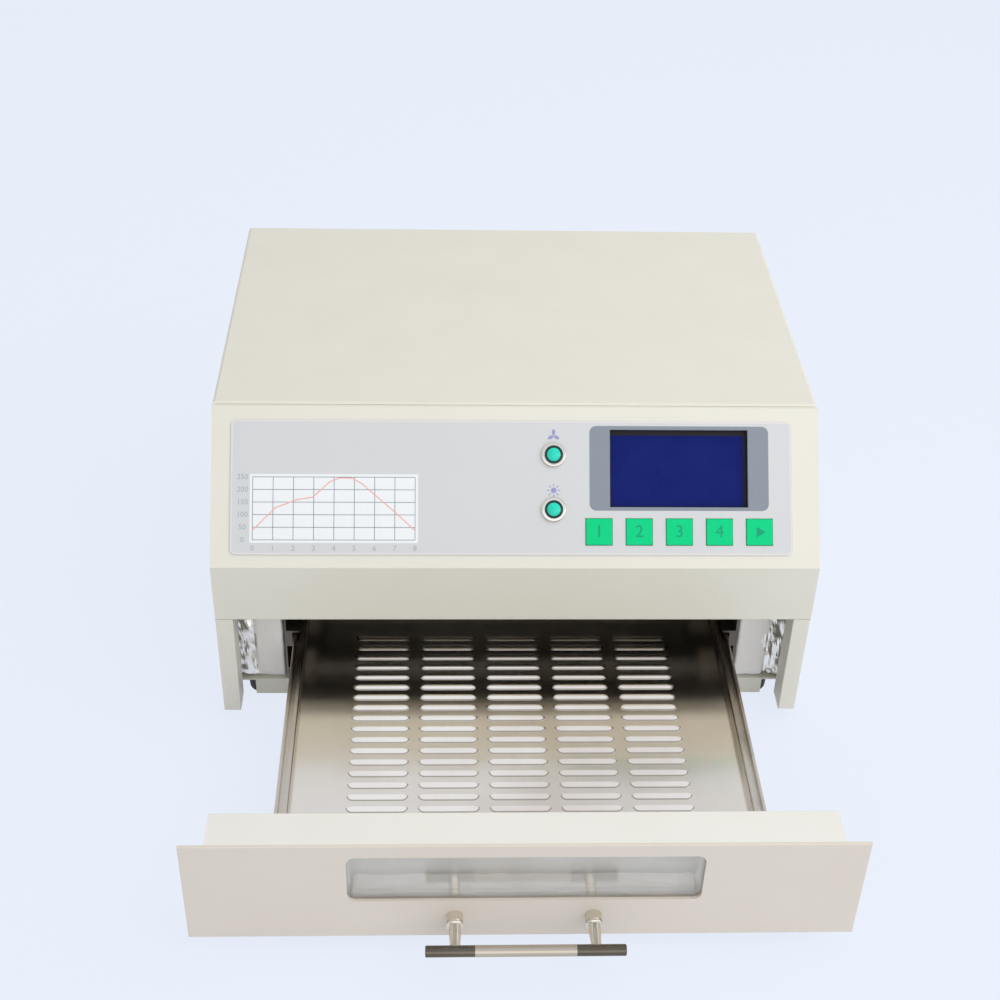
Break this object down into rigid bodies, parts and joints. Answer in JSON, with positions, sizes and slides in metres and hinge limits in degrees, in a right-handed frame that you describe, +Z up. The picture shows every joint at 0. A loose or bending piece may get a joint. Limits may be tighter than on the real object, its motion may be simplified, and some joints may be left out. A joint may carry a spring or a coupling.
{
  "type": "reflow oven",
  "caption": "Bench-top infrared reflow oven: cream sheet-steel case, sloping control panel with display and keys, sliding drawer with a louvred tray, window and bar handle.",
  "frame": {"origin": "on the bench, under the middle of the case", "axes": "+X to the right seen from the front, +Y to the rear, +Z up"},
  "size_m": [0.3136, 0.4302, 0.17],
  "materials": {
    "cream_paint": "satin powder coat",
    "galvanised": "zinc-plated sheet",
    "stainless": "brushed stainless",
    "polished": "polished plating",
    "aluminium": "satin aluminium",
    "rubber": "black rubber",
    "label": "satin printed film",
    "key_green": "gloss moulded",
    "lens_teal": "gloss moulded",
    "black_plastic": "moulded",
    "lcd": "gloss cell",
    "board": "solder mask",
    "ceramic": "fired ceramic",
    "quartz": "clear quartz",
    "glass": "heat-proof glass",
    "fibre": "foil-wrapped ceramic fibre",
    "brass": "plated brass",
    "iron": "varnished laminations",
    "winding": "tape over wire"
  },
  "bodies": {
    "case": {"case_cover": "cream_paint", "front_panel": "cream_paint", "rear_panel": "cream_paint", "base_pan": "cream_paint", "feet": "rubber", "foot_screws": "galvanised", "case_screws": "polished", "control_overlay": "label", "key_board": "board", "lcd_frame": "black_plastic", "lcd_glass": "lcd", "lcd_board": "board", "light_bezels": "polished", "light_lenses": "lens_teal", "control_board": "board", "board_spacers": "brass", "chamber_walls": "stainless", "chamber_floor": "stainless", "chamber_roof": "stainless", "chamber_rear": "stainless", "guide_rails": "stainless", "quartz_tubes": "quartz", "lamp_filaments": "iron", "lamp_caps": "ceramic", "reflector": "aluminium", "thermocouples": "stainless", "insulation_sides": "fibre", "insulation_roof": "fibre", "insulation_rear": "fibre", "electronics_shelf": "galvanised", "transformer_core": "iron", "transformer_windings": "winding", "power_board": "board", "heat_sink": "aluminium", "fan_housing": "black_plastic", "fan_guard": "polished", "fan_screws": "polished", "inlet_housing": "black_plastic", "inlet_pins": "polished", "switch_housing": "black_plastic"},
    "drawer": {"drawer_plate": "cream_paint", "drawer_box": "cream_paint", "window_glass": "glass", "inner_glass": "glass", "drawer_insulation": "fibre", "tray_plate": "stainless", "tray_rails": "stainless", "handle_posts": "polished", "handle_grip": "aluminium", "handle_ends": "polished", "handle_screws": "galvanised"},
    "fan_rotor": {"fan_rotor": "black_plastic"},
    "power_rocker": {"switch_rocker": "black_plastic"},
    "fuse_drawer": {"fuse_carrier": "black_plastic", "fuse": "glass"},
    "key_1": {"key_1": "key_green"},
    "key_2": {"key_2": "key_green"},
    "key_3": {"key_3": "key_green"},
    "key_4": {"key_4": "key_green"},
    "key_5": {"key_5": "key_green"}
  },
  "joints": [
    {"name": "drawer_slide", "type": "slide", "parent": "case", "child": "drawer", "axis": [0, 1, 0], "range_m": [0, 0.15]},
    {"name": "key_1_press", "type": "slide", "parent": "case", "child": "key_1", "axis": [0, 0.7643, -0.6449], "range_m": [0, 0.0006], "stiffness_N_per_m": 900},
    {"name": "key_2_press", "type": "slide", "parent": "case", "child": "key_2", "axis": [0, 0.7643, -0.6449], "range_m": [0, 0.0006], "stiffness_N_per_m": 900},
    {"name": "key_3_press", "type": "slide", "parent": "case", "child": "key_3", "axis": [0, 0.7643, -0.6449], "range_m": [0, 0.0006], "stiffness_N_per_m": 900},
    {"name": "key_4_press", "type": "slide", "parent": "case", "child": "key_4", "axis": [0, 0.7643, -0.6449], "range_m": [0, 0.0006], "stiffness_N_per_m": 900},
    {"name": "key_5_press", "type": "slide", "parent": "case", "child": "key_5", "axis": [0, 0.7643, -0.6449], "range_m": [0, 0.0006], "stiffness_N_per_m": 900},
    {"name": "fan_spin", "type": "hinge", "parent": "case", "child": "fan_rotor", "pos_m": [-0.04, 0.111, 0.055], "axis": [0, 1, 0], "continuous": true},
    {"name": "power_rock", "type": "hinge", "parent": "case", "child": "power_rocker", "pos_m": [0.108, 0.117, 0.092], "axis": [0, 0, -1], "range_deg": [0, 22]},
    {"name": "fuse_drawer_slide", "type": "slide", "parent": "case", "child": "fuse_drawer", "axis": [0, 1, 0], "range_m": [0, 0.012]}
  ]
}
